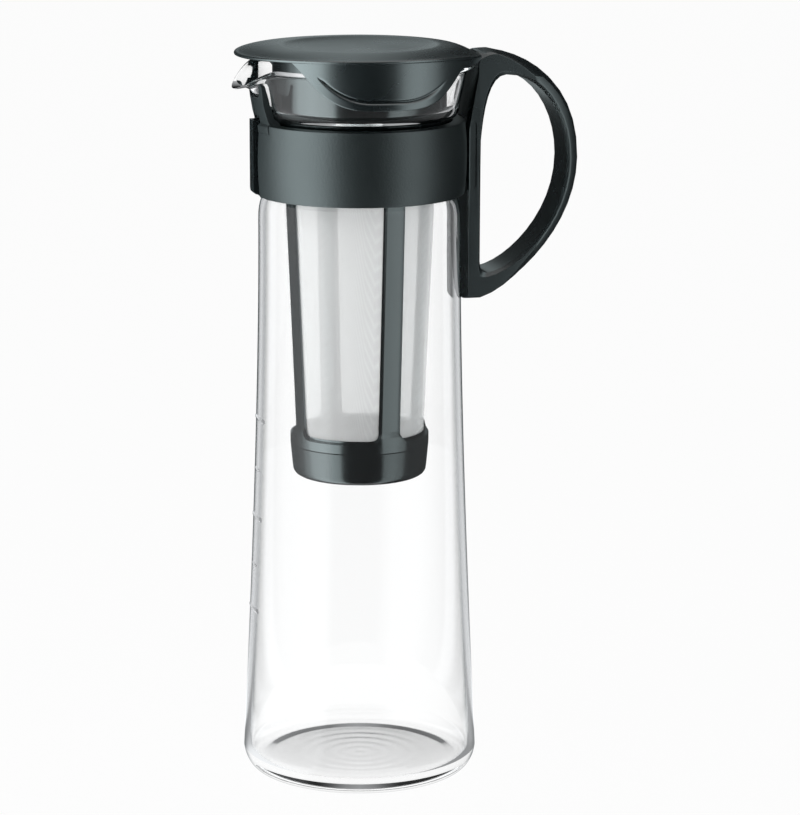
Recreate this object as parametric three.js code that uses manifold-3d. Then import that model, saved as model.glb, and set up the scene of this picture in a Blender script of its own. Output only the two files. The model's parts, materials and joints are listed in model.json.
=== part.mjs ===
// A one litre cold brew coffee pot: a waisted glass jug in a clasped neck band, a loop handle,
// a hanging mesh strainer with a removable bottom cap, and a lid with two grip lobes.
// Millimetres, +Z up. The spout points along -X and the handle along +X.
// The origin is on the table, midway between the spout's tip and the handle's crest.
import * as THREE from "three";
import { mergeVertices } from "three/addons/utils/BufferGeometryUtils.js";
import Module from "manifold-3d";

const wasm = await Module();
wasm.setup();

// Shared by all pieces
const facets = 48; // faces round a full turn
const cornerFaces = 3; // faces round a curve of an extruded outline
const fit = 0.3; // gap between pieces that seat on each other
const overrun = 3; // how far a cutting tool passes the face that it cuts
const fineness = 0.012; // detail smaller than this is merged after cutting

// Glass jug, from the table up
const jugWall = 2.4;
const jugFloor = 2.6;
const neckRadius = 40.2; // outside, at the top of the body and at the foot of the mouth
const baseFlare = 7.2; // how much wider the body is at the table
const baseCorner = 8; // height of the round corner at the table
const footWidth = 7; // flat ring that stands on the table
const puntRise = 1.2; // hollow under the floor
const bodyHeight = 226;
const shoulderRise = 17;
const waistDepth = 5.2; // how far the waist is set in
const waistLength = 14;
const ledgeLift = 5; // from the waist's top to the foot of the sloping ledge inside
const ledgeRise = 5.6;
const ledgeRun = 2.1; // how much the ledge widens as it rises
const mouthSwell = 4.6; // how much wider the mouth's foot is than the waist
const mouthLift = 4; // from the ledge's top to the mouth's foot
const mouthDepth = 16.2; // from its foot to the rim
const mouthFlare = 2.4; // how far the mouth leans out before the rim curls
const rimLip = 3.3; // how far the rim curls out beyond that
const rimCurl = 5; // height over which the rim curls out
const spoutPull = 6; // how far the rim is pulled out at the spout
const spoutDrop = 9; // how far it is pulled down
const spoutSpread = 21; // half the spout's spread round the rim, in degrees
const spoutCrowding = 0.4; // how much closer the jug's facets stand at the spout

// Neck band
const bandHeight = 29.2;
const bandLift = 0.8; // band centre above the waist's centre
const bandCover = 1.6; // band edge radius beyond the neck radius
const bandCrown = 0.7; // how much the band swells at half height
const bandEdge = 0.9; // rounding of its edges
const bandWall = 2;
const bandRibs = 3; // inner ribs that bear on the waist
const bandRibWidth = 2.2;
const splitGap = 0.6; // between the two ends of the hoop
const railReach = 0.8; // how far the rail on the hoop's ends stands out from the band
const railHead = 0.7; // thickness of the rail's head
const railNeckWidth = 2.6;
const railWidth = 4.2;
const tabWidth = 28; // of the cradle under the spout, where it leaves the band
const tabProud = 0.5; // how far its foot stands out from the band's face
const tabOverlap = 3.4; // how far down it reaches on the band's face
const tabRise = 16.1; // above the band
const tabFingerRise = 6; // how far its two fingers rise above its middle
const tabFingerWidth = 2.9;
const tabTaper = 2; // how much narrower each side is at the fingers
const tabWaist = 1.1; // how far each side bows in below them
const tabStep = 0.5; // its face above the band is set back by this much
const tabLean = 2.7; // how much that face leans out to the top
const tenonWidth = 10; // block behind the hoop that carries the handle
const tenonHeight = 22;
const tenonDepth = 2.6;

// Band clasp, a channel pushed over the rail from below, in a pocket of the band
const claspWall = 0.8;
const claspRise = 1.2; // how far its top stands above the band
const claspLift = 1; // how far its lower end is above the band's lower edge
const claspFloor = 1.2; // closes the channel at its lower end
const claspCorner = 2.2; // rounding of its lower end
const claspRecess = 1.4; // how far the pocket in the band passes it on each side

// Handle
const handleWidth = 19;
const spineGap = 1.3; // from the jug's body to the spine
const spineThickness = 5.9;
const handleReach = 35.8; // from the spine to the inside of the grip
const gripThickness = 6.1;
const handleDrop = 58.5; // below the band's centre
const handleRise = 41.2; // above it
const handleHeelThickness = 10.4; // at the lower root
const handleBrowThickness = 9.8; // at the upper root
const handleEdge = 1.2; // rounding of the section's edges
const sideReliefDepth = 0.5;
const sideReliefWidth = 2.6;

// Strainer frame
const strainerPlay = 0.7; // inside the waist, all round
const strainerWall = 1.6;
const strainerTaper = 5.1; // how much the frame narrows downwards
const strainerDrop = 119; // from the ledge to the collar
const collarHeight = 7.4;
const collarProud = 1; // how far the collar stands out
const cupProud = 2.5; // how far the cup stands out to sit on the ledge
const cupStandsAbove = 2.7; // cup rim above the jug's rim
const windowCount = 4;
const barWidth = 11.2; // between two windows
const windowSill = 2.2; // how far a window's lower edge is below the collar's top
const windowTopInset = 13; // from the ledge down to a window's upper edge
const windowCorner = 2.6;
const windowStep = 1.3; // width of the shallow step round each window
const windowStepDepth = 0.5;
const strainerTurn = 12.8; // degrees, as it hangs in the jug

// Mesh panels
const meshThickness = 0.4;
const meshLap = 1.2; // how far a panel reaches behind the window's edges

// Strainer cap
const capHeight = 13;
const capTaper = 0.9;
const capCorner = 3.4;
const capWall = 1.6;
const capSpigot = 3.6; // how far it pushes up into the frame
const capRecess = 0.6; // shallow hollow under its floor

// Lid
const lidOverhang = 2.8; // beyond the jug's rim
const lidEdge = 1.3; // thickness at the rim
const lidThickness = 2.2;
const lidHeight = 2.7; // rim top above the strainer's rim
const lidCrown = 1.3; // crest above the rim
const lidCrestRadius = 31;
const lidDish = 1.5; // centre below the crest
const lidBeak = 1.4; // how far the lid reaches out over the spout
const lidSpoutDroop = 0.9; // how far the rim bows down at the spout
const lidHandleDroop = 3; // how far it bows down at the handle
const lidCollarDepth = 7; // ring inside the strainer's cup
const lidCollarWall = 1.5;
const lobeDrop = 19.2; // below the lid's rim
const lobeHalfAngle = 51; // degrees each way from the lobe's middle
const lobePower = 2; // shape of the lobe's lower edge
const lobeSteps = 36; // points of its lower edge
const lobeWall = 1.5;
const lobeClearance = 0.35; // beyond the glass rim, which the lobes pass as the lid lifts
const lobeTail = 8.5; // depth of the skirt that runs on from each lobe and fades at the handle
const gripGrooveRise = 3.3; // above the lobe's lower edge
const gripGrooveWidth = 1.2;
const gripGrooveDepth = 0.8;
const gripGrooveHalfAngle = 33;

// Levels and radii that follow
const waistLow = bodyHeight + shoulderRise;
const waistHigh = waistLow + waistLength;
const ledgeLevel = waistHigh + ledgeLift;
const ledgeTop = ledgeLevel + ledgeRise;
const mouthFoot = ledgeTop + mouthLift;
const rimLevel = mouthFoot + mouthDepth;
const waistRadius = neckRadius - waistDepth;
const mouthRadius = waistRadius + mouthSwell;
const rimRadius = mouthRadius + mouthFlare + rimLip;
const throatRadius = waistRadius - jugWall; // inside the waist
const bandMiddle = (waistLow + waistHigh) / 2 + bandLift;
const bandLow = bandMiddle - bandHeight / 2;
const bandHigh = bandMiddle + bandHeight / 2;
const bandRadius = neckRadius + bandCover;
const neckOfStrainer = throatRadius - strainerPlay;
const cupRadius = neckOfStrainer + cupProud;
const cupRim = rimLevel + cupStandsAbove;
const collarTop = ledgeLevel - strainerDrop;
const collarFoot = collarTop - collarHeight;
const lidSeat = cupRim + fit;
const lidRim = lidSeat + lidHeight;
const lidRadius = rimRadius + lidOverhang;
const beakReach = lidRadius + lidBeak;
const spineInside = neckRadius + spineGap;
const spineOutside = spineInside + spineThickness;
const gripInside = spineOutside + handleReach;
const crestReach = gripInside + gripThickness;

// A closed mesh as a solid: shared corners merged, faces without area dropped
function solid(geometry) {
  const bare = geometry.clone();
  bare.deleteAttribute("normal");
  bare.deleteAttribute("uv");
  const merged = mergeVertices(bare, 1e-4);
  const corners = merged.index.array;
  const kept = [];
  for (let i = 0; i < corners.length; i += 3) {
    const [a, b, c] = [corners[i], corners[i + 1], corners[i + 2]];
    if (a !== b && b !== c && c !== a) kept.push(a, b, c);
  }
  return new wasm.Manifold(
    new wasm.Mesh({
      numProp: 3,
      vertProperties: merged.attributes.position.array,
      triVerts: new Uint32Array(kept),
    }),
  );
}

function geometryOf(made) {
  const mesh = made.getMesh();
  const geometry = new THREE.BufferGeometry();
  geometry.setAttribute("position", new THREE.BufferAttribute(mesh.vertProperties, 3));
  geometry.setIndex(new THREE.BufferAttribute(mesh.triVerts, 1));
  geometry.computeVertexNormals();
  return geometry;
}

function joined(pieces) {
  return pieces.reduce((all, next) => all.add(next));
}

// A solid less its cuts, without the slivers that cutting leaves
function carved(made, ...cuts) {
  return made.subtract(joined(cuts)).simplify(fineness);
}

// Points along a path, with a count of steps for each of its curves in turn
function sampled(path, steps) {
  const points = [path.curves[0].getPoint(0)];
  path.curves.forEach((curve, i) => {
    points.push(...curve.getPoints(steps[i]).slice(1));
  });
  return points;
}

// A profile of (radius, height) points turned round the Z axis
function turned(profile) {
  return new THREE.LatheGeometry(profile, facets).rotateX(Math.PI / 2);
}

function ring(innerRadius, outerRadius, low, high) {
  const corners = [
    [innerRadius, low],
    [outerRadius, low],
    [outerRadius, high],
    [innerRadius, high],
    [innerRadius, low],
  ];
  return solid(turned(corners.map(([r, z]) => new THREE.Vector2(r, z))));
}

// A closed ring between two slanted faces, given as radii at the two levels
function slantedRing(innerLow, outerLow, low, innerHigh, outerHigh, high) {
  const corners = [
    [innerLow, low],
    [outerLow, low],
    [outerHigh, high],
    [innerHigh, high],
    [innerLow, low],
  ];
  return solid(turned(corners.map(([r, z]) => new THREE.Vector2(r, z))));
}

// An outline of (across, up) extruded along Y, from its near face to its far face
function alongY(outline, near, far) {
  const geometry = new THREE.ExtrudeGeometry(outline, {
    depth: far - near,
    bevelEnabled: false,
    curveSegments: cornerFaces,
  });
  return solid(geometry.rotateX(Math.PI / 2).translate(0, far, 0));
}

// An outline of (side, up) extruded along X
function alongX(outline, near, far) {
  const geometry = new THREE.ExtrudeGeometry(outline, {
    depth: far - near,
    bevelEnabled: false,
    curveSegments: cornerFaces,
  });
  geometry.rotateX(Math.PI / 2).rotateZ(Math.PI / 2);
  return solid(geometry.translate(near, 0, 0));
}

function box(lowX, highX, lowY, highY, lowZ, highZ) {
  const geometry = new THREE.BoxGeometry(highX - lowX, highY - lowY, highZ - lowZ);
  geometry.translate((lowX + highX) / 2, (lowY + highY) / 2, (lowZ + highZ) / 2);
  return solid(geometry);
}

// Glass jug: the outside of its profile, from the middle of the floor to the rim's outer edge
function jugOutside() {
  const path = new THREE.Path();
  const foot = neckRadius + baseFlare - baseCorner * 0.8;
  const body = bodyHeight - baseCorner;
  path.moveTo(0, puntRise);
  path.lineTo(foot - footWidth - puntRise * 2, puntRise);
  path.lineTo(foot - footWidth, 0);
  path.lineTo(foot, 0);
  path.quadraticCurveTo(neckRadius + baseFlare, 0, neckRadius + baseFlare, baseCorner);
  path.quadraticCurveTo(neckRadius, baseCorner + body * 0.65, neckRadius, bodyHeight);
  path.bezierCurveTo(
    neckRadius,
    bodyHeight + shoulderRise * 0.75,
    waistRadius,
    bodyHeight + shoulderRise * 0.55,
    waistRadius,
    waistLow,
  );
  path.lineTo(waistRadius, waistHigh);
  path.quadraticCurveTo(
    waistRadius,
    ledgeLevel,
    waistRadius + ledgeRun,
    ledgeTop - jugWall / 2,
  );
  path.quadraticCurveTo(mouthRadius, ledgeTop, mouthRadius, mouthFoot);
  path.quadraticCurveTo(
    mouthRadius + mouthFlare * 0.6,
    mouthFoot + mouthDepth * 0.35,
    mouthRadius + mouthFlare,
    rimLevel - rimCurl,
  );
  path.quadraticCurveTo(
    mouthRadius + mouthFlare + rimCurl * 0.15,
    rimLevel - rimCurl * 0.4,
    rimRadius,
    rimLevel - rimCurl * 0.25,
  );
  return sampled(path, [1, 1, 1, 3, 5, 3, 1, 2, 2, 2, 2]);
}

// The rim's round edge and the inside of the profile, from the rim down to the axis
function jugInside() {
  const path = new THREE.Path();
  const inner = neckRadius - jugWall;
  const innerMouth = mouthRadius - jugWall;
  const floor = puntRise + jugFloor;
  const body = bodyHeight - baseCorner;
  path.moveTo(rimRadius, rimLevel - rimCurl * 0.25);
  path.quadraticCurveTo(rimRadius, rimLevel, rimRadius - jugWall * 0.6, rimLevel);
  path.quadraticCurveTo(
    innerMouth + mouthFlare + rimCurl * 0.15,
    rimLevel - rimCurl * 0.1,
    innerMouth + mouthFlare,
    rimLevel - rimCurl,
  );
  path.quadraticCurveTo(
    innerMouth + mouthFlare * 0.6,
    mouthFoot + mouthDepth * 0.35,
    innerMouth,
    mouthFoot,
  );
  path.quadraticCurveTo(
    innerMouth,
    ledgeTop + mouthLift * 0.35,
    throatRadius + ledgeRun,
    ledgeTop,
  );
  path.lineTo(throatRadius, ledgeLevel);
  path.lineTo(throatRadius, waistLow);
  path.bezierCurveTo(
    throatRadius,
    bodyHeight + shoulderRise * 0.55,
    inner,
    bodyHeight + shoulderRise * 0.7,
    inner,
    bodyHeight,
  );
  path.quadraticCurveTo(inner, baseCorner + body * 0.65, inner + baseFlare, baseCorner);
  path.quadraticCurveTo(inner + baseFlare, floor, inner + baseFlare - baseCorner * 0.6, floor);
  path.lineTo(0, floor);
  return sampled(path, [3, 2, 2, 2, 1, 1, 3, 5, 3, 1]);
}

// Crowds the jug's facets towards the spout, and pulls its rim out and down there,
// more and more towards the rim's edge
function pullSpout(geometry) {
  const place = geometry.attributes.position;
  const spread = THREE.MathUtils.degToRad(spoutSpread);
  for (let i = 0; i < place.count; i++) {
    const point = new THREE.Vector3().fromBufferAttribute(place, i);
    const rise = Math.max(0, (point.z - ledgeTop) / (rimLevel - ledgeTop));
    const even = Math.atan2(point.y, -point.x);
    const turn = even - spoutCrowding * Math.sin(even);
    const off = Math.min(Math.abs(turn) / spread, 1);
    const pull = Math.cos((off * Math.PI) / 2) ** 2;
    const radius = Math.hypot(point.x, point.y) + spoutPull * pull * rise ** 2;
    const drop = spoutDrop * pull * rise ** 3;
    place.setXYZ(i, -radius * Math.cos(turn), radius * Math.sin(turn), point.z - drop);
  }
  return geometry;
}

function glassJug() {
  return solid(pullSpout(turned([...jugOutside(), ...jugInside().slice(1)])));
}

// The jug's outer form as a full solid, thickened by a gap: what other pieces keep clear of
function jugForm(gap) {
  const outside = jugOutside();
  const grown = outside.map((point, i) => {
    const before = outside[Math.max(i - 1, 0)];
    const after = outside[Math.min(i + 1, outside.length - 1)];
    const along = after.clone().sub(before).normalize();
    return new THREE.Vector2(point.x + along.y * gap, point.y - along.x * gap);
  });
  grown[0].x = 0;
  const top = rimLevel + gap;
  grown.push(new THREE.Vector2(rimRadius + gap, top), new THREE.Vector2(0, top));
  return solid(pullSpout(turned(grown)));
}

// Neck band: a hoop with inner ribs, split under the spout, with two uprights beside the spout
function bandHoop() {
  const path = new THREE.Path();
  const inner = waistRadius + fit;
  path.moveTo(inner, bandLow);
  path.lineTo(bandRadius - bandEdge, bandLow);
  path.quadraticCurveTo(bandRadius, bandLow, bandRadius, bandLow + bandEdge);
  path.quadraticCurveTo(
    bandRadius + bandCrown * 2,
    bandMiddle,
    bandRadius,
    bandHigh - bandEdge,
  );
  path.quadraticCurveTo(bandRadius, bandHigh, bandRadius - bandEdge, bandHigh);
  path.lineTo(inner, bandHigh);
  path.lineTo(inner, bandLow);
  return solid(turned(sampled(path, [1, 2, 4, 2, 1, 1])));
}

// The hollows between the hoop's inner ribs, left solid near the split and near the tenon
function bandHollows() {
  const reach = waistRadius - waistDepth / 2;
  const span = bandHeight / (bandRibs - 1);
  const sides = box(-reach, reach, -bandRadius, bandRadius, bandLow, bandHigh);
  const hollows = [];
  for (let k = 0; k < bandRibs - 1; k++) {
    const low = bandLow + k * span + bandRibWidth;
    const high = bandLow + (k + 1) * span - bandRibWidth;
    hollows.push(ring(waistRadius - overrun, bandRadius - bandWall, low, high));
  }
  return joined(hollows).intersect(sides);
}

// Half of the cradle's outline, seen along X: the side, one finger and the low middle
function tabOutline() {
  const foot = bandHigh - tabOverlap;
  const top = bandHigh + tabRise;
  const saddle = top - tabFingerRise;
  const half = tabWidth / 2;
  const outside = half - tabTaper;
  const inside = outside - tabFingerWidth;
  const round = tabFingerWidth / 2;
  const outline = new THREE.Shape();
  outline.moveTo(0, foot);
  outline.lineTo(half, foot);
  outline.quadraticCurveTo(outside - tabWaist, (foot + saddle) / 2, outside, top - round);
  outline.quadraticCurveTo(outside, top, outside - round, top);
  outline.quadraticCurveTo(inside, top, inside, top - round);
  outline.quadraticCurveTo(inside, saddle, inside - tabFingerRise / 2, saddle);
  outline.lineTo(0, saddle);
  outline.closePath();
  return outline;
}

// The cradle's wall before its outline and the glass are cut from it
function tabWall() {
  const face = bandRadius + tabProud;
  const set = bandRadius - tabStep;
  const foot = bandHigh - tabOverlap;
  const top = bandHigh + tabRise;
  const path = new THREE.Path();
  path.moveTo(waistRadius, foot);
  path.lineTo(face - tabProud / 2, foot);
  path.lineTo(face, foot + tabProud / 2);
  path.lineTo(face, bandHigh - tabProud);
  path.lineTo(set, bandHigh + tabStep);
  path.quadraticCurveTo(set + tabLean * 0.6, bandHigh + tabRise / 3, set + tabLean, top);
  path.lineTo(waistRadius, top);
  path.lineTo(waistRadius, foot);
  return solid(turned(sampled(path, [1, 1, 1, 1, 3, 1, 1])));
}

// Half the width of the clasp, and how far its back is from the jug's axis
function claspSize() {
  const outerHalf = railWidth / 2 + fit + claspWall;
  const inside = bandRadius + railReach - railHead - fit - claspWall;
  return [outerHalf, inside];
}

function neckBand() {
  const [claspHalf, claspInside] = claspSize();
  const half = tabOutline();
  const wall = tabWall();
  const side = alongX(half, -beakReach, -waistRadius / 2).intersect(wall);
  const aboveClasp = box(
    -beakReach,
    -waistRadius / 2,
    -claspHalf - fit,
    claspHalf + fit,
    bandLow,
    bandHigh + claspRise + fit,
  );
  const tab = side.add(side.mirror([0, 1, 0])).subtract(aboveClasp);
  const pocket = box(
    -beakReach,
    -(claspInside - fit),
    -claspHalf - claspRecess,
    claspHalf + claspRecess,
    bandLow - overrun,
    bandHigh + overrun,
  );
  const hoop = bandHoop().add(tab).subtract(pocket);
  const tenon = box(
    bandRadius - bandWall,
    bandRadius + tenonDepth,
    -tenonWidth / 2,
    tenonWidth / 2,
    bandMiddle - tenonHeight / 2,
    bandMiddle + tenonHeight / 2,
  );
  const railLow = bandLow + claspLift + claspFloor + fit;
  const railOutside = bandRadius + railReach;
  const neck = box(
    -railOutside,
    -(bandRadius - bandWall),
    -railNeckWidth / 2,
    railNeckWidth / 2,
    railLow,
    bandHigh,
  );
  const head = box(
    -railOutside,
    -(railOutside - railHead),
    -railWidth / 2,
    railWidth / 2,
    railLow,
    bandHigh,
  );
  const split = box(
    -beakReach,
    0,
    -splitGap / 2,
    splitGap / 2,
    bandLow - overrun,
    rimLevel,
  );
  const whole = joined([hoop, tenon, neck, head]);
  return carved(whole, bandHollows(), jugForm(fit), split);
}

// Band clasp: a channel over the rail, closed at its lower end, which is rounded outside
function bandClasp() {
  const [outerHalf, inside] = claspSize();
  const headInside = inside + claspWall;
  const outside = bandRadius + railReach + fit + claspWall;
  const headHalf = railWidth / 2 + fit;
  const neckHalf = railNeckWidth / 2 + fit;
  const low = bandLow + claspLift;
  const high = bandHigh + claspRise;
  const profile = new THREE.Shape();
  profile.moveTo(-inside, low);
  profile.lineTo(-inside, high);
  profile.lineTo(-outside, high);
  profile.lineTo(-outside, low + claspCorner);
  profile.quadraticCurveTo(-outside, low, -outside + claspCorner, low);
  profile.closePath();
  const floor = low + claspFloor;
  const forHead = box(
    -(outside - claspWall),
    -headInside,
    -headHalf,
    headHalf,
    floor,
    high + overrun,
  );
  const forNeck = box(
    -(outside - claspWall),
    -(inside - overrun),
    -neckHalf,
    neckHalf,
    floor,
    high + overrun,
  );
  return carved(alongY(profile, -outerHalf, outerHalf), forHead, forNeck);
}

// Handle: the two outlines that its loop lies between, as matching lists of points.
// The outer outline runs up the jug's side of the spine, over the grip and back to the heel.
function handleOutlines() {
  const heel = bandMiddle - handleDrop;
  const brow = bandMiddle + handleRise;
  const crest = bandMiddle - handleDrop * 0.05;
  const browInside = rimRadius + fit * 2;
  const holeLow = heel + handleHeelThickness;
  const holeHigh = brow - handleBrowThickness;
  const flareStart = bandHigh - bandEdge;
  const outer = new THREE.Path();
  outer.moveTo(spineInside, holeLow + handleHeelThickness * 0.5);
  outer.lineTo(spineInside, flareStart);
  outer.lineTo(browInside, rimLevel - rimCurl * 0.2);
  outer.lineTo(browInside, brow - handleEdge);
  outer.quadraticCurveTo(browInside, brow, browInside + handleEdge, brow);
  outer.lineTo(spineOutside + handleReach * 0.155, brow);
  outer.bezierCurveTo(
    spineOutside + handleReach * 0.63,
    brow - handleBrowThickness * 0.28,
    crestReach,
    crest + handleDrop * 0.512,
    crestReach,
    crest,
  );
  outer.bezierCurveTo(
    crestReach,
    crest - handleDrop * 0.444,
    spineOutside + handleReach * 0.556,
    heel + handleHeelThickness * 0.6,
    spineOutside,
    heel,
  );
  outer.lineTo(spineInside, heel);
  outer.lineTo(spineInside, holeLow + handleHeelThickness * 0.5);
  const inner = new THREE.Path();
  inner.moveTo(spineOutside, holeLow + handleHeelThickness * 0.5);
  inner.lineTo(spineOutside, crest + handleDrop * 0.123);
  inner.bezierCurveTo(
    spineOutside + handleReach * 0.03,
    crest + handleDrop * 0.346,
    spineOutside + handleReach * 0.092,
    holeHigh,
    spineOutside + handleReach * 0.29,
    holeHigh,
  );
  inner.bezierCurveTo(
    spineOutside + handleReach * 0.7,
    holeHigh,
    gripInside,
    crest + handleDrop * 0.304,
    gripInside,
    crest,
  );
  inner.bezierCurveTo(
    gripInside,
    crest - handleDrop * 0.423,
    spineOutside + handleReach * 0.437,
    holeLow + handleHeelThickness * 0.23,
    spineOutside + handleReach * 0.1,
    holeLow + handleHeelThickness * 0.045,
  );
  inner.quadraticCurveTo(
    spineOutside,
    holeLow,
    spineOutside,
    holeLow + handleHeelThickness * 0.5,
  );
  const innerPoints = sampled(inner, [5, 8, 10, 12, 5]);
  const outerPoints = sampled(outer, [3, 2, 1, 2, 5, 10, 12, 2, 3]);
  return [innerPoints.slice(0, -1), outerPoints.slice(0, -1)];
}

// The handle's section at one place: (share across, side) pairs, flat towards the hole and domed
// outwards. The dome is full at the grip and slight at the spine.
function handleSection(dome) {
  const half = handleWidth / 2;
  const edge = handleEdge;
  const pairs = [
    [0, -half + edge],
    [0, half - edge],
    [0.16, half],
  ];
  const domeSteps = 6;
  for (let k = 0; k <= domeSteps; k++) {
    const turn = (Math.PI * k) / domeSteps;
    pairs.push([1 - dome + dome * Math.sin(turn), half * Math.cos(turn)]);
  }
  pairs.push([0.16, -half]);
  return pairs;
}

function handleLoop() {
  const [inner, outer] = handleOutlines();
  const stations = inner.length;
  const points = [];
  for (let i = 0; i < stations; i++) {
    const out = THREE.MathUtils.smoothstep(
      outer[i].x,
      spineOutside + handleReach * 0.1,
      spineOutside + handleReach * 0.75,
    );
    const section = handleSection(THREE.MathUtils.lerp(0.14, 0.72, out));
    for (const [across, side] of section) {
      const place = inner[i].clone().lerp(outer[i], across);
      points.push(place.x, side, place.y);
    }
  }
  const around = points.length / 3 / stations;
  const faces = [];
  for (let i = 0; i < stations; i++) {
    for (let j = 0; j < around; j++) {
      const next = (i + 1) % stations;
      const beside = (j + 1) % around;
      const [a, b] = [i * around + j, i * around + beside];
      const [c, d] = [next * around + j, next * around + beside];
      faces.push(a, b, c, b, d, c);
    }
  }
  const geometry = new THREE.BufferGeometry();
  geometry.setAttribute("position", new THREE.Float32BufferAttribute(points, 3));
  geometry.setIndex(faces);
  return solid(geometry);
}

function handle() {
  const around = ring(
    waistRadius,
    bandRadius + bandCrown + fit,
    bandLow - fit,
    bandHigh + fit,
  );
  const mortise = box(
    bandRadius - overrun,
    bandRadius + tenonDepth + fit,
    -tenonWidth / 2 - fit,
    tenonWidth / 2 + fit,
    bandMiddle - tenonHeight / 2 - fit,
    bandMiddle + tenonHeight / 2 + fit,
  );
  const relief = new THREE.Shape();
  const reliefLow = bandLow + sideReliefWidth;
  const reliefHigh = bandHigh - sideReliefWidth;
  const reliefMiddle = (bandRadius + spineOutside) / 2 - sideReliefDepth;
  const halfRelief = sideReliefWidth / 2;
  relief.moveTo(reliefMiddle - halfRelief, reliefLow);
  relief.absarc(reliefMiddle, reliefLow, halfRelief, Math.PI, 2 * Math.PI, false);
  relief.absarc(reliefMiddle, reliefHigh, halfRelief, 0, Math.PI, false);
  relief.closePath();
  const half = handleWidth / 2;
  const reliefs = [
    alongY(relief, half - sideReliefDepth, half + overrun),
    alongY(relief, -half - overrun, -half + sideReliefDepth),
  ];
  return carved(handleLoop(), around, mortise, jugForm(fit * 2), ...reliefs);
}

// Strainer: radius of the frame's outside at a level below the ledge
function frameRadius(level) {
  const share = (ledgeLevel - level) / strainerDrop;
  return neckOfStrainer - strainerTaper * share;
}

// One window's outline, grown by a margin, with sides that keep the bars at one width
function windowOutline(margin) {
  const low = collarTop - windowSill - margin;
  const high = ledgeLevel - windowTopInset + margin;
  const half = (level) => {
    const radius = frameRadius(level);
    return radius * Math.sin(Math.PI / windowCount) - barWidth / 2 / Math.SQRT2 + margin;
  };
  const corner = windowCorner + margin;
  const outline = new THREE.Shape();
  outline.moveTo(-half(low) + corner, low);
  outline.lineTo(half(low) - corner, low);
  outline.quadraticCurveTo(half(low), low, half(low), low + corner);
  outline.lineTo(half(high), high - corner);
  outline.quadraticCurveTo(half(high), high, half(high) - corner, high);
  outline.lineTo(-half(high) + corner, high);
  outline.quadraticCurveTo(-half(high), high, -half(high), high - corner);
  outline.lineTo(-half(low), low + corner);
  outline.quadraticCurveTo(-half(low), low, -half(low) + corner, low);
  return outline;
}

function windowTool(margin, index) {
  const turn = 45 + (360 / windowCount) * index;
  return alongY(windowOutline(margin), -cupRadius - overrun, 0).rotate([0, 0, turn]);
}

// A wall that follows the frame's taper, between two distances inside its outer face
function frameShell(near, far) {
  const [low, high] = [collarFoot, ledgeLevel];
  const [bottom, top] = [frameRadius(low), frameRadius(high)];
  return slantedRing(bottom - far, bottom - near, low, top - far, top - near, high);
}

function strainerFrame() {
  const path = new THREE.Path();
  const collarRadius = frameRadius(collarTop) + collarProud;
  const slope = ledgeRise / ledgeRun;
  const clearance = fit * Math.hypot(1, 1 / slope);
  const seat = ledgeLevel - (strainerPlay - clearance) * slope;
  const seatTop = seat + cupProud * slope;
  const innerCup = cupRadius - strainerWall;
  const boreRadius = frameRadius(collarFoot) - strainerWall;
  path.moveTo(boreRadius, collarFoot + fit);
  path.lineTo(collarRadius, collarFoot + fit);
  path.lineTo(collarRadius, collarTop - collarProud);
  path.lineTo(frameRadius(collarTop) - fit, collarTop + collarProud);
  path.lineTo(neckOfStrainer, seat);
  path.lineTo(cupRadius - cupProud * 0.3, seatTop - cupProud * 0.3 * slope);
  path.quadraticCurveTo(cupRadius, seatTop, cupRadius, seatTop + cupProud);
  path.lineTo(cupRadius, cupRim - strainerWall / 2);
  path.quadraticCurveTo(cupRadius, cupRim, cupRadius - strainerWall / 2, cupRim);
  path.lineTo(innerCup, cupRim);
  path.lineTo(innerCup, seatTop);
  path.lineTo(neckOfStrainer - strainerWall, seat);
  path.lineTo(boreRadius, collarTop);
  path.lineTo(boreRadius, collarFoot + fit);
  const profile = sampled(path, [1, 1, 1, 1, 1, 3, 1, 2, 1, 1, 1, 1, 1]);
  const frame = solid(turned(profile));
  const stepBand = frameShell(-overrun, windowStepDepth);
  const rebateBand = frameShell(
    strainerWall - meshThickness - 2 * fit,
    strainerWall + overrun,
  );
  const cuts = [];
  for (let k = 0; k < windowCount; k++) {
    cuts.push(windowTool(0, k));
    cuts.push(windowTool(windowStep, k).intersect(stepBand));
    cuts.push(windowTool(meshLap + fit, k).intersect(rebateBand));
  }
  return carved(frame, ...cuts);
}

// One mesh panel, seated in the rebate behind its window
function meshPanel(index) {
  const outside = strainerWall - meshThickness - fit;
  const wall = frameShell(outside, outside + meshThickness);
  return windowTool(meshLap, index).intersect(wall).simplify(fineness);
}

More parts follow.
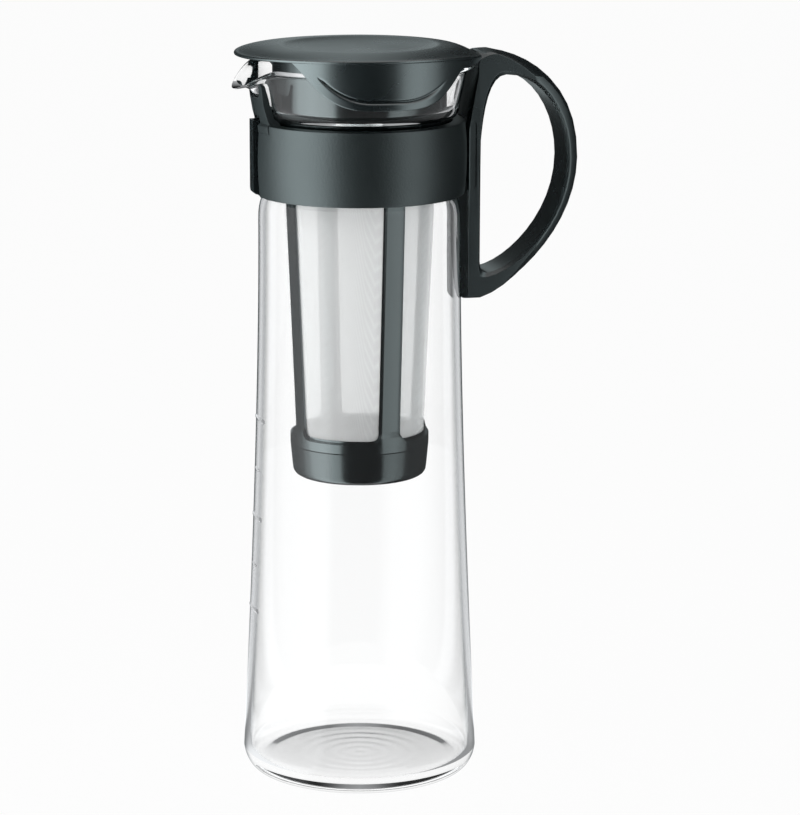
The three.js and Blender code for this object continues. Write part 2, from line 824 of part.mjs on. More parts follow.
// Strainer cap: a cup whose spigot pushes up into the collar
function strainerCap() {
  const path = new THREE.Path();
  const rimOutside = frameRadius(collarTop) + collarProud;
  const footOutside = rimOutside - capTaper;
  const spigotOutside = frameRadius(collarFoot) - strainerWall - fit;
  const low = collarFoot - capHeight;
  const recess = footOutside - capCorner - capWall;
  path.moveTo(0, low + capRecess);
  path.lineTo(recess - capRecess, low + capRecess);
  path.lineTo(recess, low);
  path.lineTo(footOutside - capCorner, low);
  path.quadraticCurveTo(footOutside, low, footOutside, low + capCorner);
  path.lineTo(rimOutside, collarFoot);
  path.lineTo(spigotOutside, collarFoot);
  path.lineTo(spigotOutside, collarFoot + capSpigot - capWall / 2);
  path.lineTo(spigotOutside - capWall / 2, collarFoot + capSpigot);
  path.lineTo(spigotOutside - capWall, collarFoot + capSpigot);
  path.lineTo(spigotOutside - capWall, low + capRecess + capWall + capCorner / 2);
  path.quadraticCurveTo(
    spigotOutside - capWall,
    low + capRecess + capWall,
    spigotOutside - capWall - capCorner / 2,
    low + capRecess + capWall,
  );
  path.lineTo(0, low + capRecess + capWall);
  return solid(turned(sampled(path, [1, 1, 1, 4, 1, 1, 1, 1, 1, 1, 2, 1])));
}

// Lid: the turned plate, with its ring inside the cup and its seat on the cup's rim
function lidPlate() {
  const path = new THREE.Path();
  const underside = lidRim + lidCrown - lidThickness;
  const collarOutside = cupRadius - strainerWall - fit * 2;
  const collarInside = collarOutside - lidCollarWall;
  path.moveTo(0, underside - lidDish);
  path.quadraticCurveTo(lidCrestRadius / 2, underside - lidDish, collarInside - overrun, underside);
  path.lineTo(collarInside, underside);
  path.lineTo(collarInside, lidSeat - lidCollarDepth);
  path.lineTo(collarOutside, lidSeat - lidCollarDepth);
  path.lineTo(collarOutside, lidSeat);
  path.lineTo(cupRadius + fit, lidSeat);
  path.lineTo(cupRadius + fit * 2, underside - lidEdge / 2);
  path.lineTo(lidRadius - lidEdge, lidRim - lidEdge);
  path.quadraticCurveTo(lidRadius, lidRim - lidEdge, lidRadius, lidRim - lidEdge / 2);
  path.quadraticCurveTo(lidRadius, lidRim, lidRadius - lidEdge / 2, lidRim);
  path.quadraticCurveTo(
    (lidRadius + lidCrestRadius) / 2,
    lidRim + lidCrown,
    lidCrestRadius,
    lidRim + lidCrown,
  );
  path.quadraticCurveTo(
    lidCrestRadius / 2,
    lidRim + lidCrown - lidDish,
    0,
    lidRim + lidCrown - lidDish,
  );
  return sampled(path, [3, 1, 1, 1, 1, 1, 1, 1, 2, 2, 4, 4]);
}

// How far the lid's rim bows down at a distance along X from the jug's axis
function lidBow(x) {
  const droop = x < 0 ? lidSpoutDroop : lidHandleDroop;
  return droop * Math.abs(x / lidRadius) ** 3;
}

// Draws the rim out to a short beak over the spout and bows it down
function shapeLid(geometry) {
  const place = geometry.attributes.position;
  for (let i = 0; i < place.count; i++) {
    const point = new THREE.Vector3().fromBufferAttribute(place, i);
    const radius = Math.hypot(point.x, point.y);
    const edge = THREE.MathUtils.smoothstep(radius, cupRadius + fit * 2, lidRadius);
    const towards = Math.max(0, -point.x / Math.max(radius, lidEdge));
    const stretch = 1 + (edge * lidBeak * towards ** 6) / lidRadius;
    const bow = edge * lidBow(point.x);
    place.setXYZ(i, point.x * stretch, point.y * stretch, point.z - bow);
  }
  return geometry;
}

// Height of a lobe's lower edge at an angle from its middle, positive towards the handle
function lobeEdge(degrees) {
  const share = Math.min(Math.abs(degrees / lobeHalfAngle), 1);
  const depth = lobeDrop * (1 - THREE.MathUtils.smoothstep(share ** lobePower, 0, 1));
  const tail = degrees > 0 ? lobeTail * (1 - degrees / 90) : 0;
  return lidRim - Math.max(depth, tail);
}

// An outline seen along Y, between the lobes' lower edge, lifted by a rise, and a level above it
function lobeOutline(from, to, rise, height) {
  const steps = Math.round((lobeSteps * (to - from)) / (lobeHalfAngle + 90));
  const places = [];
  for (let k = 0; k <= steps; k++) {
    const degrees = from + ((to - from) * k) / steps;
    const across = lidRadius * Math.sin(THREE.MathUtils.degToRad(degrees));
    places.push([across, lobeEdge(degrees) + rise]);
  }
  const outline = places.map(([x, z]) => new THREE.Vector2(x, z));
  for (const [x, z] of places.reverse()) {
    outline.push(new THREE.Vector2(x, height === null ? lidRim : z + height));
  }
  return new THREE.Shape(outline);
}

// The wall that the lobes are cut from, which passes outside the jug's rim
function lobeWallRing(inset, proud) {
  const inside = rimRadius + lobeClearance;
  const outside = inside + lobeWall;
  const low = lidRim - lobeDrop - overrun;
  const high = lidRim - lidEdge / 2;
  const flare = lidRadius - lidEdge / 3 - outside;
  return slantedRing(
    outside - inset,
    outside + proud,
    low,
    outside + flare - inset,
    outside + flare + proud,
    high,
  );
}

function lid() {
  const plate = solid(shapeLid(turned(lidPlate())));
  const reach = lidRadius + overrun;
  const skirt = lobeOutline(-lobeHalfAngle, 90, 0, null);
  const lobes = lobeWallRing(lobeWall, 0).intersect(alongY(skirt, -reach, reach));
  const bowed = lobes.warp((corner) => {
    corner[2] -= lidBow(corner[0]);
  });
  const crescent = lobeOutline(
    -gripGrooveHalfAngle,
    gripGrooveHalfAngle,
    gripGrooveRise,
    gripGrooveWidth,
  );
  const grooves = lobeWallRing(gripGrooveDepth, overrun).intersect(
    alongY(crescent, -reach, reach),
  );
  const handleSide = box(
    rimRadius + fit,
    beakReach,
    -reach,
    reach,
    lidSeat - lidCollarDepth,
    lidRim + lidCrown + overrun,
  );
  return carved(plate.add(bowed), grooves, handleSide);
}

// Materials
const clearGlass = { color: 0xf4f8f8, roughness: 0.03, transparent: true, opacity: 0.35 };
const satinPlastic = { color: 0x23292b, roughness: 0.38 };
const grainedPlastic = { color: 0x2a3032, roughness: 0.62 };
const whiteMesh = { color: 0xe8ebeb, roughness: 0.8, transparent: true, opacity: 0.8 };

function piece(name, made, look) {
  const material = new THREE.MeshStandardMaterial({ metalness: 0, ...look });
  const mesh = new THREE.Mesh(geometryOf(made), material);
  mesh.name = name;
  return mesh;
}

const strainer = new THREE.Group();
strainer.rotation.z = THREE.MathUtils.degToRad(strainerTurn);
strainer.add(piece("strainer_frame", strainerFrame(), satinPlastic));
for (let k = 0; k < windowCount; k++) {
  strainer.add(piece("mesh_panel_" + (k + 1), meshPanel(k), whiteMesh));
}
strainer.add(piece("strainer_cap", strainerCap(), satinPlastic));

const pot = new THREE.Group();
pot.add(piece("glass_jug", glassJug(), clearGlass));
pot.add(piece("neck_band", neckBand(), grainedPlastic));
pot.add(piece("band_clasp", bandClasp(), satinPlastic));
pot.add(piece("handle", handle(), satinPlastic));
pot.add(strainer);
pot.add(piece("lid", lid(), satinPlastic));
const span = new THREE.Box3().setFromObject(pot, true);
pot.position.x = -(span.min.x + span.max.x) / 2;

const root = new THREE.Group();
root.add(pot);
export default root;
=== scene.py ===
"""A one litre cold brew coffee pot, dressed for rendering.

Metres, +Z up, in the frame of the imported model: the spout points along -X, the handle along +X.
The glass and the lid are drawn here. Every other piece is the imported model's, with its finish.
"""

import json
import math

import bmesh
import bpy
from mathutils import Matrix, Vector


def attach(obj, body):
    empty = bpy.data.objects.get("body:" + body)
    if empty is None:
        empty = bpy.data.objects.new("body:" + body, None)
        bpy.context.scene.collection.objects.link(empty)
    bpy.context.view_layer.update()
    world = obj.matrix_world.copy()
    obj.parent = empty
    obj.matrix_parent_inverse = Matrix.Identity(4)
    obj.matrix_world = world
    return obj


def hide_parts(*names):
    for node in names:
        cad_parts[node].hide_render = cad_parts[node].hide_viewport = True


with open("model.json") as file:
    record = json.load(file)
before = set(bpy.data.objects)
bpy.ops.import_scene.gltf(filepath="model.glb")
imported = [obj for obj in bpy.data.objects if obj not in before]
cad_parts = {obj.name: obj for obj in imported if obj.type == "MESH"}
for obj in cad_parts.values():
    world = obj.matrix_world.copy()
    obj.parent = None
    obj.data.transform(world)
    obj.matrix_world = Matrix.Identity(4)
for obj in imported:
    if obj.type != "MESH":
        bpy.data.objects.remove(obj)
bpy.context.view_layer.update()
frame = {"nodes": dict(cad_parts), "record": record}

NODES = frame["nodes"]
AXIS_X = frame["record"]["mounts"][0]["pos_m"][0]  # the jug's axis, over which its base ring stands
MM = 0.001
WHITE = (1, 1, 1, 1)

# The photograph's camera

IMAGE_WIDTH = 800
IMAGE_HEIGHT = 815
AXIS_COLUMN = 359.5  # where the jug's axis stands in the picture
FOCAL_PIXELS = 3269.6
SENSOR = 36
CAMERA_DISTANCE = 1.2833
CAMERA_HEIGHT = 0.4357
CAMERA_AZIMUTH = math.radians(-14)
CAMERA_PITCH = 0.22

# Lamps, world and floor

LIGHT_DISTANCE = 0.8
LIGHT_HEIGHT = 1.1
SOFTBOXES = (  # name, angle from the camera, to its right, width and radiance
    ("left_softbox", -66, 0.6, 3),
    ("right_softbox", 60, 0.4, 1.2),
)
WORLD_LEVEL = 0.3
THROUGH_GLASS = 1.1  # the white behind the glass, brighter than the picture's white
FLOOR_RADIUS = 4
FLOOR_SEGMENTS = 96
FLOOR_GREY = (0.82, 0.82, 0.82, 1)
FLOOR_ROUGHNESS = 0.9
FLOOR_GAP = 0.2 * MM  # below the glass, so that the two faces don't flicker
FLOOR_SHADOW = 0.04  # how much of the floor's shading shows in its white
# A painted shadow below the jug: the floor's white is darker in a disc there.
CONTACT_RADIUS = 0.041  # how far the painted shadow below the jug reaches
CONTACT_CORE = CONTACT_RADIUS * 0.6  # and where it begins to fade
PAINTED_CONTACT_SHADOW = 0.9

# The bowl of cards round the jug, which reflections alone show

CARD_SEGMENTS = 180
CARD_NEAR = 0.0478  # where the cards that lie on the floor begin
CARD_FAR = 0.8
CARD_LIFT = 0.4 * MM  # above the floor
CARD_MIDDLE = 0.55
CARD_TOP = 1.1
CARD_SECTION = (  # distance from the jug's axis and height
    (CARD_NEAR, CARD_LIFT),
    (CARD_FAR, CARD_LIFT),
    (CARD_FAR, CARD_MIDDLE),
    (CARD_FAR, CARD_TOP),
)
CARD_LEVELS = (  # angle from the camera, to its right, and brightness in the plastics
    (-180, 0.52),
    (-176, 0.46),
    (-170, 0.08),
    (-150, 0.03),
    (-130, 0.06),
    (-112, 0.3),
    (-96, 1.4),
    (-82, 3.3),
    (-64, 3.9),
    (-46, 3.5),
    (-34, 3.0),
    (-27, 0.3),
    (-16, 0.03),
    (35, 0.02),
    (43, 1.6),
    (58, 1.8),
    (72, 1.2),
    (86, 0.08),
    (150, 0.02),
    (170, 0.03),
    (175, 0.1),
    (178, 0.34),
    (180, 0.52),
)
CLEAR_LEVELS = (  # the same for the glass
    (-180, 0.3),
    (-174, 0.01),
    (-160, 0.01),
    (-154, 0.8),
    (-146, 1.5),
    (-134, 1.5),
    (-124, 0.4),
    (-110, 0.3),
    (-96, 0.6),
    (-82, 0.9),
    (-34, 0.95),
    (-24, 0.14),
    (35, 0.14),
    (48, 0.3),
    (90, 0.3),
    (104, 0.4),
    (124, 0.4),
    (134, 1.4),
    (146, 1.4),
    (154, 0.7),
    (160, 0.01),
    (174, 0.01),
    (180, 0.3),
)
CLEAR_LEAST = (0.3, 0, 0, 0.4)  # the least brightness for the glass at each row of the section
CARD_TINT = (0.87, 1, 1.02)
CLEAR_TINT = (0.97, 0.99, 1.01)


def around(angle, distance, height=0.0):
    """A place round the jug, at an angle in degrees from the camera, positive to its right."""
    turn = math.radians(angle) + CAMERA_AZIMUTH
    return Vector((AXIS_X + distance * math.sin(turn), -distance * math.cos(turn), height))


def link(name, data):
    made = bpy.data.objects.new(name, data)
    bpy.context.scene.collection.objects.link(made)
    return made


# Shader nodes


def join(tree, value, socket):
    """Feeds a socket from another node's output, or sets it to a value."""
    if isinstance(value, bpy.types.NodeSocket):
        tree.links.new(value, socket)
    else:
        socket.default_value = value


def calculated(tree, operation, *values):
    made = tree.nodes.new("ShaderNodeMath")
    made.operation = operation
    for value, socket in zip(values, made.inputs):
        join(tree, value, socket)
    return made.outputs[0]


def mapped(tree, value, start, end, low=0, high=1):
    """Takes a value between start and end to its place between low and high."""
    made = tree.nodes.new("ShaderNodeMapRange")
    made.inputs["From Min"].default_value = start
    made.inputs["From Max"].default_value = end
    made.inputs["To Min"].default_value = low
    made.inputs["To Max"].default_value = high
    tree.links.new(value, made.inputs["Value"])
    return made.outputs["Result"]


def tinted(tree, value, dark, light):
    made = tree.nodes.new("ShaderNodeMix")
    made.data_type = "RGBA"
    made.inputs["A"].default_value = (*dark, 1)
    made.inputs["B"].default_value = (*light, 1)
    tree.links.new(value, made.inputs["Factor"])
    return made.outputs["Result"]


def mixed(tree, share, first, second, output):
    """Sends a mix to the output: a share of the second shader and the rest of the first."""
    made = tree.nodes.new("ShaderNodeMixShader")
    tree.links.new(share, made.inputs["Fac"])
    tree.links.new(first.outputs[0], made.inputs[1])
    tree.links.new(second.outputs[0], made.inputs[2])
    tree.links.new(made.outputs[0], tree.nodes[output].inputs["Surface"])


def place_on_object(tree):
    return tree.nodes.new("ShaderNodeTexCoord").outputs["Object"]


def noise(tree, size, detail=3.0):
    """Noise whose features are about size across, in metres on the object."""
    made = tree.nodes.new("ShaderNodeTexNoise")
    made.inputs["Scale"].default_value = 1 / size
    made.inputs["Detail"].default_value = detail
    tree.links.new(place_on_object(tree), made.inputs["Vector"])
    return made.outputs["Fac"]


def raise_surface(tree, shader, height, distance, strength=1):
    """Raises the surface by up to distance where height is 1."""
    made = tree.nodes.new("ShaderNodeBump")
    made.inputs["Strength"].default_value = strength
    made.inputs["Distance"].default_value = distance
    tree.links.new(height, made.inputs["Height"])
    tree.links.new(made.outputs["Normal"], shader.inputs["Normal"])


def new_material(name):
    """A new material, its tree and its shader."""
    made = bpy.data.materials.new(name)
    made.use_nodes = True
    return made, made.node_tree, made.node_tree.nodes["Principled BSDF"]


# Camera and studio


def add_camera():
    data = bpy.data.cameras.new("camera")
    side = max(IMAGE_WIDTH, IMAGE_HEIGHT)
    data.sensor_width = SENSOR
    data.lens = FOCAL_PIXELS * SENSOR / side
    data.shift_x = (IMAGE_WIDTH / 2 - AXIS_COLUMN) / side
    camera = link("camera", data)
    camera.location = around(0, CAMERA_DISTANCE, CAMERA_HEIGHT)
    camera.rotation_euler = (math.pi / 2 - CAMERA_PITCH, 0, CAMERA_AZIMUTH)
    bpy.context.scene.camera = camera


def add_softbox(name, angle, width, radiance):
    """An upright panel that lights the jug. Reflections show the cards in its place."""
    data = bpy.data.lights.new(name, "AREA")
    data.shape = "RECTANGLE"
    data.size = width
    data.size_y = LIGHT_HEIGHT
    data.energy = radiance * math.pi * width * LIGHT_HEIGHT
    light = link(name, data)
    light.location = around(angle, LIGHT_DISTANCE, LIGHT_HEIGHT / 2)
    light.rotation_euler = (math.pi / 2, 0, math.radians(angle) + CAMERA_AZIMUTH)
    light.visible_camera = False
    light.visible_glossy = False
    light.visible_transmission = False


def card_level(levels, angle):
    """How bright the cards are at an angle, eased from one named place to the next."""
    for (start, low), (end, high) in zip(levels, levels[1:]):
        if start <= angle <= end:
            t = (angle - start) / (end - start)
            return low + (high - low) * t * t * (3 - 2 * t)
    return levels[0][1]


def card_glow(kinds):
    """The cards' light: one brightness and tint for the plastics and one for the glass."""
    made, tree, shader = new_material("cards")
    made.cycles.emission_sampling = "NONE"
    tree.nodes.remove(shader)
    path = tree.nodes.new("ShaderNodeLightPath")
    level = tree.nodes.new("ShaderNodeMix")
    tree.links.new(path.outputs["Is Singular Ray"], level.inputs["Factor"])
    for kind, socket in zip(kinds, ("A", "B")):
        value = tree.nodes.new("ShaderNodeAttribute")
        value.attribute_name = kind
        tree.links.new(value.outputs["Fac"], level.inputs[socket])
    glow = tree.nodes.new("ShaderNodeEmission")
    tint = tinted(tree, path.outputs["Is Singular Ray"], CARD_TINT, CLEAR_TINT)
    tree.links.new(tint, glow.inputs["Color"])
    tree.links.new(level.outputs["Result"], glow.inputs["Strength"])
    reflected = calculated(tree, "MINIMUM", path.outputs["Glossy Depth"], 1)
    clear = tree.nodes.new("ShaderNodeBsdfTransparent")
    mixed(tree, reflected, clear, glow, "Material Output")
    return made


def add_cards():
    """A bowl of soft cards, bright and dark, round the jug, that only reflections see."""
    rows = len(CARD_SECTION)
    points = []
    faces = []
    levels = {"level": [], "clear_level": []}
    for k in range(CARD_SEGMENTS):
        angle = -180 + 360 * k / CARD_SEGMENTS
        points += [around(angle, distance, height) for distance, height in CARD_SECTION]
        near, far = rows * k, rows * ((k + 1) % CARD_SEGMENTS)
        faces += [(near + j, far + j, far + j + 1, near + j + 1) for j in range(rows - 1)]
        clear = card_level(CLEAR_LEVELS, angle)
        levels["level"] += [card_level(CARD_LEVELS, angle)] * rows
        levels["clear_level"] += [max(clear, least) for least in CLEAR_LEAST]
    mesh = bpy.data.meshes.new("cards")
    mesh.from_pydata(points, [], faces)
    for kind, values in levels.items():
        mesh.attributes.new(kind, "FLOAT", "POINT").data.foreach_set("value", values)
    mesh.materials.append(card_glow(levels))
    cards = link("cards", mesh)
    cards.visible_camera = False
    cards.visible_diffuse = False
    cards.visible_shadow = False


def seen_rays(tree):
    """1 for rays that see the background: those from the camera, from gloss and through glass."""
    path = tree.nodes.new("ShaderNodeLightPath")
    seen = path.outputs["Is Camera Ray"]
    for kind in ("Is Glossy Ray", "Is Transmission Ray"):
        seen = calculated(tree, "MAXIMUM", seen, path.outputs[kind])
    return seen


def through_glass(tree, white):
    """Sets the brightness of a white: 1, or a little more where glass is before it."""
    path = tree.nodes.new("ShaderNodeLightPath")
    level = mapped(tree, path.outputs["Is Transmission Ray"], 0, 1, 1, THROUGH_GLASS)
    tree.links.new(level, white.inputs["Strength"])


def add_world():
    world = bpy.data.worlds.new("world")
    bpy.context.scene.world = world
    world.use_nodes = True
    tree = world.node_tree
    lighting = tree.nodes["Background"]
    lighting.inputs["Strength"].default_value = WORLD_LEVEL
    lighting.inputs["Color"].default_value = WHITE
    white = tree.nodes.new("ShaderNodeBackground")
    white.inputs["Color"].default_value = WHITE
    through_glass(tree, white)
    mixed(tree, seen_rays(tree), lighting, white, "World Output")


def floor_white():
    """White with a little of the object's shadow in it, and a painted shadow that darkens the white
    in a disc below the jug.
    """
    made, tree, shader = new_material("floor")
    shader.inputs["Base Color"].default_value = FLOOR_GREY
    shader.inputs["Roughness"].default_value = FLOOR_ROUGHNESS
    shader.inputs["Specular IOR Level"].default_value = 0
    white = tree.nodes.new("ShaderNodeEmission")
    through_glass(tree, white)
    away = tree.nodes.new("ShaderNodeVectorMath")
    away.operation = "LENGTH"
    tree.links.new(place_on_object(tree), away.inputs[0])
    # painted shadow: the floor's white is darker in a disc below the jug
    shade = mapped(tree, away.outputs["Value"], CONTACT_CORE, CONTACT_RADIUS, PAINTED_CONTACT_SHADOW, 1)
    shade.node.interpolation_type = "SMOOTHSTEP"
    tree.links.new(shade, white.inputs["Color"])
    share = calculated(tree, "MULTIPLY", seen_rays(tree), 1 - FLOOR_SHADOW)
    mixed(tree, share, shader, white, "Material Output")
    return made


def add_floor():
    mesh = bpy.data.meshes.new("floor")
    bm = bmesh.new()
    bmesh.ops.create_circle(bm, cap_ends=True, segments=FLOOR_SEGMENTS, radius=FLOOR_RADIUS)
    bm.to_mesh(mesh)
    bm.free()
    mesh.materials.append(floor_white())
    floor = link("floor", mesh)
    floor.location = (AXIS_X, 0, -FLOOR_GAP)


# Materials

COOL_SHEEN = (0.96, 1, 1, 1)
MOTTLE_SIZE = 22 * MM  # of the slight changes of colour and gloss
MOTTLE_DARKER = 0.9
MOTTLE_LIGHTER = 1.12
MOTTLE_GLOSS = 0.025
NOISE_LOW, NOISE_HIGH = 0.3, 0.7  # between which nearly all of the noise lies
GRAIN_DETAIL = 4.0

GLASS_FACE = (0.998, 1, 1)
# painted shade: the glass's colour where it is seen edge on
GLASS_PAINTED_EDGE_SHADE = (0.06, 0.075, 0.08)
EDGE_SHADE_START, EDGE_SHADE_END = 0.74, 0.87  # how nearly edge on the glass is where painted shade darkens its colour
GLASS_INDEX = 1.47
GLASS_SHINE = 0.3
RIPPLE_SIZE = 16 * MM
RIPPLE_HEIGHT = 0.02 * MM
RIPPLE_DETAIL = 1.0

THREAD_PITCH = 0.24 * MM
THREAD_HEIGHT = 0.08 * MM
THREAD_STRENGTH = 0.3
GAUZE_COVER = (0.28, 0.38)  # the least and the most that the threads hide
GAUZE_DARK = (0.96, 0.965, 0.965)
GAUZE_LIGHT = (0.98, 0.985, 0.985)
GAUZE_MOTTLE = 12 * MM
GAUZE_ROUGHNESS = 0.75


def moulded_plastic(name, colour, roughness, grain, depth, shine, index=1.5):
    """Moulded plastic with a fine grain of the mould and slight changes of gloss."""
    made, tree, shader = new_material(name)
    broad = noise(tree, MOTTLE_SIZE)
    darker = tuple(c * MOTTLE_DARKER for c in colour)
    lighter = tuple(c * MOTTLE_LIGHTER for c in colour)
    tree.links.new(tinted(tree, broad, darker, lighter), shader.inputs["Base Color"])
    low, high = roughness - MOTTLE_GLOSS, roughness + MOTTLE_GLOSS
    gloss = mapped(tree, broad, NOISE_LOW, NOISE_HIGH, low, high)
    tree.links.new(gloss, shader.inputs["Roughness"])
    shader.inputs["Specular IOR Level"].default_value = shine
    shader.inputs["IOR"].default_value = index
    shader.inputs["Specular Tint"].default_value = COOL_SHEEN
    raise_surface(tree, shader, noise(tree, grain, GRAIN_DETAIL), depth)
    return made


def clear_glass():
    """Clear glass with the faint waves of its mould, and painted shade that darkens its colour
    where it is seen edge on.
    """
    made, tree, shader = new_material("clear_glass")
    facing = tree.nodes.new("ShaderNodeLayerWeight").outputs["Facing"]
    # painted shade, darkening the glass's colour towards its edges
    painted_edge_shade = mapped(tree, facing, EDGE_SHADE_START, EDGE_SHADE_END)
    tree.links.new(tinted(tree, painted_edge_shade, GLASS_FACE, GLASS_PAINTED_EDGE_SHADE), shader.inputs["Base Color"])
    shader.inputs["Transmission Weight"].default_value = 1
    shader.inputs["Roughness"].default_value = 0
    shader.inputs["IOR"].default_value = GLASS_INDEX
    shader.inputs["Specular IOR Level"].default_value = GLASS_SHINE
    raise_surface(tree, shader, noise(tree, RIPPLE_SIZE, RIPPLE_DETAIL), RIPPLE_HEIGHT)
    return made


def woven_mesh():
    """A fine white gauze: threads both ways, with gaps that show what is behind."""
    made, tree, shader = new_material("woven_mesh")
    split = tree.nodes.new("ShaderNodeSeparateXYZ")
    tree.links.new(place_on_object(tree), split.inputs["Vector"])
    waves = []
    for axis in ("X", "Y", "Z"):
        turn = calculated(tree, "MULTIPLY", split.outputs[axis], 2 * math.pi / THREAD_PITCH)
        waves.append(calculated(tree, "SINE", turn))
    threads = waves[0]
    for wave in waves[1:]:
        threads = calculated(tree, "MAXIMUM", threads, wave)
    tree.links.new(mapped(tree, threads, -1, 1, *GAUZE_COVER), shader.inputs["Alpha"])
    colour = tinted(tree, noise(tree, GAUZE_MOTTLE), GAUZE_DARK, GAUZE_LIGHT)
    tree.links.new(colour, shader.inputs["Base Color"])
    shader.inputs["Roughness"].default_value = GAUZE_ROUGHNESS
    raise_surface(tree, shader, threads, THREAD_HEIGHT, THREAD_STRENGTH)
    return made


def dress(obj, made):
    obj.data.materials.clear()
    obj.data.materials.append(made)


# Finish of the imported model's pieces

JOIN_DISTANCE = 0.002 * MM
SHARPEST_CURVE = math.radians(32)  # a sharper turn between two faces is an edge


def smooth_nodes():
    """A node group that joins loose corners and shades everything smooth."""
    tree = bpy.data.node_groups.new("smooth", "GeometryNodeTree")
    tree.interface.new_socket("Geometry", in_out="INPUT", socket_type="NodeSocketGeometry")
    tree.interface.new_socket("Geometry", in_out="OUTPUT", socket_type="NodeSocketGeometry")
    come = tree.nodes.new("NodeGroupInput")
    merge = tree.nodes.new("GeometryNodeMergeByDistance")
    merge.inputs["Distance"].default_value = JOIN_DISTANCE
    shade = tree.nodes.new("GeometryNodeSetShadeSmooth")
    leave = tree.nodes.new("NodeGroupOutput")
    tree.links.new(come.outputs[0], merge.inputs["Geometry"])
    tree.links.new(merge.outputs[0], shade.inputs["Geometry"])
    tree.links.new(shade.outputs[0], leave.inputs[0])
    return tree


SMOOTH = smooth_nodes()


def round_edges(obj, width, segments):
    """Softens a moulded piece's edges, as its mould does, and shades its curves smooth."""
    obj.modifiers.new("smooth", "NODES").node_group = SMOOTH
    bevel = obj.modifiers.new("edges", "BEVEL")
    bevel.limit_method = "ANGLE"
    bevel.angle_limit = SHARPEST_CURVE
    bevel.width = width
    bevel.segments = segments
    obj.modifiers.new("shading", "WEIGHTED_NORMAL").mode = "FACE_AREA_WITH_ANGLE"


# Shapes drawn in millimetres round the jug's axis


def smooth_step(value, low, high):
    t = min(max((value - low) / (high - low), 0), 1)
    return t * t * (3 - 2 * t)


def curve(points, steps):
    """Places along a curve between its two ends, drawn to the points between, without the first."""
    made = []
    for k in range(1, steps + 1):
        t = k / steps
        line = list(points)
        while len(line) > 1:
            line = [
                (ax + (bx - ax) * t, ay + (by - ay) * t)
                for (ax, ay), (bx, by) in zip(line, line[1:])
            ]
        made += line
    return made


def outline(start, *stretches):
    """A line of curves from start, each with its steps, the points that draw it and its end."""
    made = [start]
    for steps, *points in stretches:
        made += curve([start, *points], steps)
        start = points[-1]
    return made


def turned(bm, profile, segments, shape):
    """Turns a closed profile of (radius, level) round the axis. shape gives each corner's place."""
    rings = []
    for r, z in profile:
        count = segments if r > 0 else 1
        turns = [2 * math.pi * k / segments for k in range(count)]
        rings.append([bm.verts.new(shape(r, turn, z)) for turn in turns])
    for low, high in zip(rings, rings[1:]):
        for k in range(segments):
            n = (k + 1) % segments
            if len(low) == 1:
                bm.faces.new((low[0], high[n], high[k]))
            elif len(high) == 1:
                bm.faces.new((low[k], low[n], high[0]))
            else:
                bm.faces.new((low[k], low[n], high[n], high[k]))


def built(name, bm):
    bmesh.ops.recalc_face_normals(bm, faces=bm.faces)
    for face in bm.faces:
        face.smooth = True
    for vert in bm.verts:
        vert.co = Vector((vert.co.x * MM + AXIS_X, vert.co.y * MM, vert.co.z * MM))
    mesh = bpy.data.meshes.new(name)
    bm.to_mesh(mesh)
    bm.free()
    return link(name, mesh)


# Glass, in millimetres from the jug's axis

GLASS_SEGMENTS = 180
FOOT_RADIUS = 39.8  # the ring that it stands on
FOOT_WIDTH = 0.5
PUNT_EDGE = 36  # the hollow under the floor, out to its rounded edge
PUNT_HEIGHT = 0.9
PUNT_GAP = 0.1
PUNT_REACH = 38.6  # where its arch would meet the table
FLOOR_TOP = 4.2
FLOOR_EDGE = 34
FLOOR_ROWS = 29
WAVE_HEIGHT = 0.022
WAVE_PITCH = 6.2
WAVE_FADE = (20, 34)
WAVE_ABOVE = 0.7  # how strong the waves are on the floor's top
BODY_FOOT = (47.4, 8)
BODY_BEND = (40.2, 149.7)
BODY_TOP = (40.2, 226)
BODY_ROWS = 60
WAIST = 35
WAIST_INSIDE = 32.6
LEDGE_TOP = 267.6
RIM_TOP = 287.8

SPOUT_PULL = 6
SPOUT_DROP = 9
SPOUT_SPREAD = math.radians(21)
SPOUT_FLARE = math.radians(11)  # how much wider it spreads at the rim, above the cradle's fingers
SPOUT_FLARE_START = 0.6  # the share of the neck's height
SPOUT_CROWDING = 0.55  # how much closer the segments stand at the spout

WALL_FOOT = 45.8  # the middle of the body's wall, as a straight taper beside the marks
WALL_TAPER = 0.037

MARKS = ((146.5, 7), (125.8, 3.5), (106.3, 7), (86.6, 3.5), (68.4, 7))  # level and half length
MARK_HEIGHT = 0.9
MARK_PROUD = 0.4
MARK_ROWS = (-2, -1.2, -0.8, -0.4, 0, 0.4, 0.8, 1.2, 2)  # in MARK_HEIGHT from its middle
MARK_FLANK = (0.4, 0.8)  # from the flat top to the glass, measured the same way
MARK_TIP = 0.6
MARK_CLEARANCE = 2.2  # a row of the body that is nearer to a mark gives way to the mark's own


def floor_waves(r):
    """Rings that the mould leaves round the centre of the floor."""
    fade = 1 - smooth_step(r, *WAVE_FADE)
    return WAVE_HEIGHT * fade * math.cos(2 * math.pi * r / WAVE_PITCH)


def body_outline():
    """The body's outside from the foot's corner up to the shoulder, with rows for the marks."""
    rows = curve([BODY_FOOT, BODY_BEND, BODY_TOP], BODY_ROWS)
    levels = {z for _, z in rows}
    for level, _ in MARKS:
        levels -= {z for z in levels if abs(z - level) < MARK_CLEARANCE}
        levels |= {level + MARK_HEIGHT * step for step in MARK_ROWS}
    rows = [BODY_FOOT] + rows
    made = []
    for level in sorted(levels):
        for (r0, z0), (r1, z1) in zip(rows, rows[1:]):
            if z0 <= level <= z1:
                made.append((r0 + (r1 - r0) * (level - z0) / (z1 - z0), level))
                break
    return made


